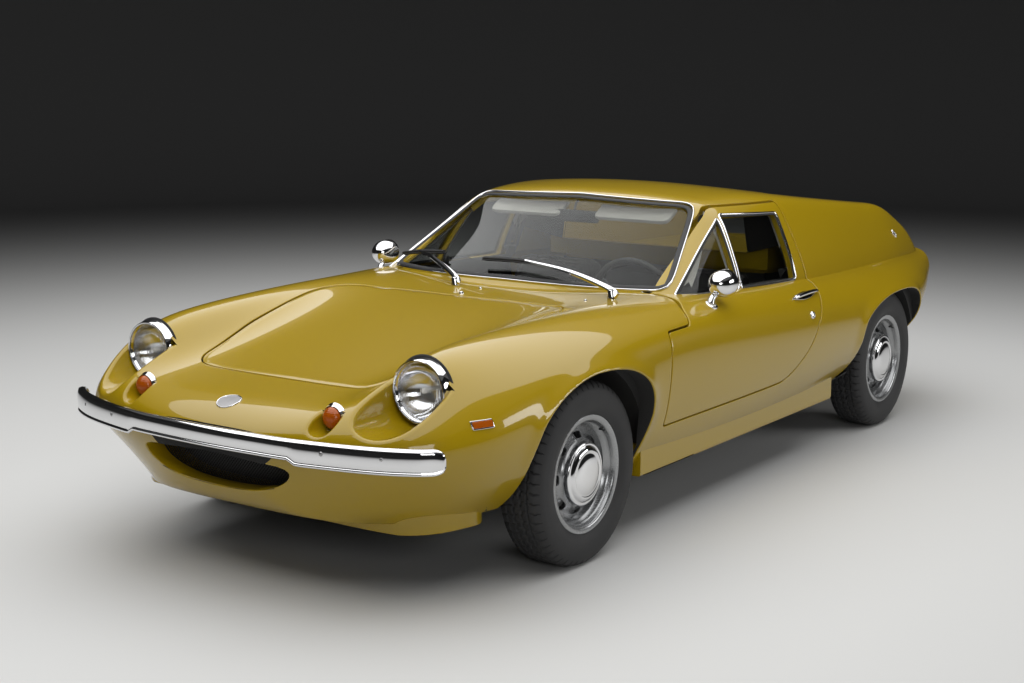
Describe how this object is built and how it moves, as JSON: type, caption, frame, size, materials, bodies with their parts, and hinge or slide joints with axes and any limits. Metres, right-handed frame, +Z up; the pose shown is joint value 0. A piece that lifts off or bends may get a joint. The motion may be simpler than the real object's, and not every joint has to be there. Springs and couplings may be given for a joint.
{
  "type": "two-seat mid-engined coupe car",
  "caption": "Low two-seat coupe with flat sail panels, engine behind the seats, opening doors, bonnet and engine lid, steering front wheels and rolling wheels.",
  "frame": {"origin": "floor level under the middle of the car's length and width", "axes": "+X towards the tail, +Y to the car's right side, +Z up"},
  "size_m": [4.011, 1.6382, 1.0466],
  "materials": {
    "paint": "gloss mustard yellow",
    "glass": "clear",
    "chrome": "polished",
    "grille_black": "matte black",
    "lens_clear": "clear, ribbed",
    "lens_amber": "amber, ribbed",
    "lens_red": "red, ribbed",
    "wheel_silver": "satin silver",
    "tyre": "moulded rubber",
    "steel_black": "satin black",
    "steel": "machined",
    "iron": "as cast",
    "vinyl": "grained black vinyl",
    "dash": "grained black",
    "floor": "undersealed moulding"
  },
  "bodies": {
    "root": {"front_body": "paint", "floor_tub": "paint", "rear_body": "paint", "roof": "paint", "windscreen": "glass", "rear_window": "glass", "bumper_front": "chrome", "bumper_rear": "chrome", "grille": "grille_black", "headlamps": "chrome", "headlamp_lenses": "lens_clear", "blinkers": "lens_amber", "side_markers": "lens_amber", "tail_lamps": "lens_red", "chassis": "steel_black", "front_suspension": "steel_black", "rear_suspension": "steel", "power_unit": "iron", "exhaust": "steel", "seats": "vinyl", "dashboard": "dash", "wipers": "steel"},
    "bonnet": {"bonnet": "paint"},
    "deck_lid": {"deck_lid": "paint"},
    "steering_wheel": {"steering_wheel": "vinyl"},
    "door_left": {"door_left": "paint", "door_glass_left": "glass", "mirror_left": "chrome"},
    "door_right": {"door_right": "paint", "door_glass_right": "glass", "mirror_right": "chrome"},
    "knuckle_left": {"knuckle_left": "steel"},
    "knuckle_right": {"knuckle_right": "steel"},
    "wheel_front_left": {"wheel_front_left": "wheel_silver", "tyre_front_left": "tyre"},
    "wheel_front_right": {"wheel_front_right": "wheel_silver", "tyre_front_right": "tyre"},
    "wheel_rear_left": {"wheel_rear_left": "wheel_silver", "tyre_rear_left": "tyre"},
    "wheel_rear_right": {"wheel_rear_right": "wheel_silver", "tyre_rear_right": "tyre"}
  },
  "joints": [
    {"name": "door_left_hinge", "type": "hinge", "parent": "root", "child": "door_left", "pos_m": [-0.715, -0.794, 0.55], "axis": [0, 0, -1], "range_deg": [0, 62]},
    {"name": "door_right_hinge", "type": "hinge", "parent": "root", "child": "door_right", "pos_m": [-0.715, 0.794, 0.55], "axis": [0, 0, 1], "range_deg": [0, 62]},
    {"name": "bonnet_hinge", "type": "hinge", "parent": "root", "child": "bonnet", "pos_m": [-1.686, 0, 0.587], "axis": [0, -1, 0], "range_deg": [0, 55]},
    {"name": "deck_lid_hinge", "type": "hinge", "parent": "root", "child": "deck_lid", "pos_m": [0.591, 0, 0.7], "axis": [0, -1, 0], "range_deg": [0, 60]},
    {"name": "steering", "type": "hinge", "parent": "root", "child": "steering_wheel", "pos_m": [-0.142, -0.33, 0.64], "axis": [-0.9397, 0, -0.342], "range_deg": [-448, 448]},
    {"name": "steer_left", "type": "hinge", "parent": "root", "child": "knuckle_left", "pos_m": [-1.127, -0.575, 0.284], "axis": [0, 0, 1], "range_deg": [-28, 28]},
    {"name": "steer_right", "type": "hinge", "parent": "root", "child": "knuckle_right", "pos_m": [-1.127, 0.575, 0.284], "axis": [0, 0, 1], "range_deg": [-28, 28]},
    {"name": "roll_front_left", "type": "hinge", "parent": "knuckle_left", "child": "wheel_front_left", "pos_m": [-1.127, -0.673, 0.284], "axis": [0, 1, 0], "continuous": true},
    {"name": "roll_front_right", "type": "hinge", "parent": "knuckle_right", "child": "wheel_front_right", "pos_m": [-1.127, 0.673, 0.284], "axis": [0, 1, 0], "continuous": true},
    {"name": "roll_rear_left", "type": "hinge", "parent": "root", "child": "wheel_rear_left", "pos_m": [1.184, -0.673, 0.284], "axis": [0, 1, 0], "continuous": true},
    {"name": "roll_rear_right", "type": "hinge", "parent": "root", "child": "wheel_rear_right", "pos_m": [1.184, 0.673, 0.284], "axis": [0, 1, 0], "continuous": true}
  ],
  "couplings": [
    {"joint": "steer_left", "follows": "steering", "ratio": -0.0625},
    {"joint": "steer_right", "follows": "steering", "ratio": -0.0625}
  ]
}
